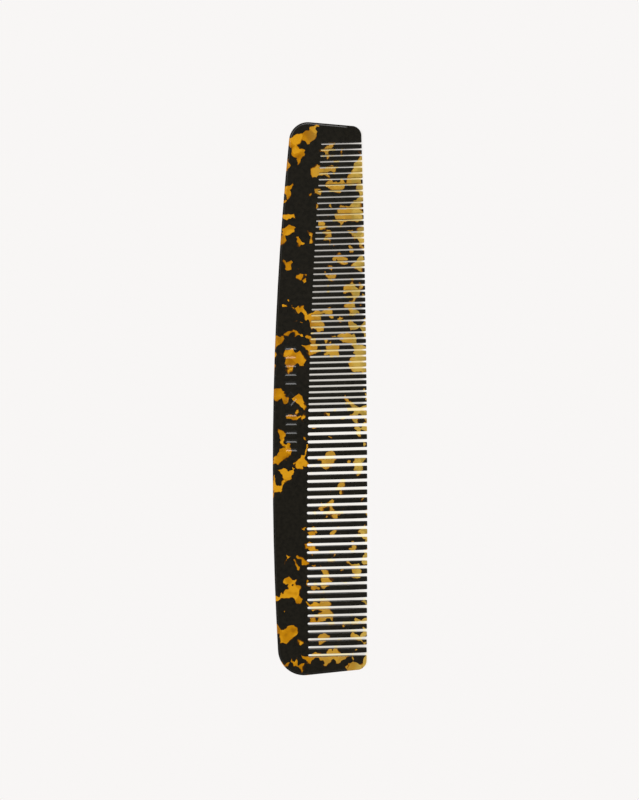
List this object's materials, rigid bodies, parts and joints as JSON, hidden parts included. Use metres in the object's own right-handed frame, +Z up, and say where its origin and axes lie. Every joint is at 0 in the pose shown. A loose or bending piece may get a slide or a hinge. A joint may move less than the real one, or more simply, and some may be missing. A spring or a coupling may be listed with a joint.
{
  "type": "hair comb",
  "caption": "Flat tortoiseshell acetate dressing comb, fine teeth at one end and coarse teeth at the other, with a gently curved back and bevelled tooth tips.",
  "frame": {"origin": "on the resting face, under the middle of the comb's box", "axes": "+X across the comb from the back to the tooth tips, +Y along it toward the fine teeth, +Z up through the sheet toward the face with the ornament"},
  "size_m": [0.0327, 0.1906, 0.004],
  "materials": {
    "tortoiseshell_acetate": "polished near-black acetate with angular amber chips running through the sheet"
  },
  "bodies": {
    "root": {"spine": "tortoiseshell_acetate", "fine_end_guard": "tortoiseshell_acetate", "coarse_end_guard": "tortoiseshell_acetate", "fine_teeth": "tortoiseshell_acetate", "coarse_teeth": "tortoiseshell_acetate"}
  },
  "joints": []
}
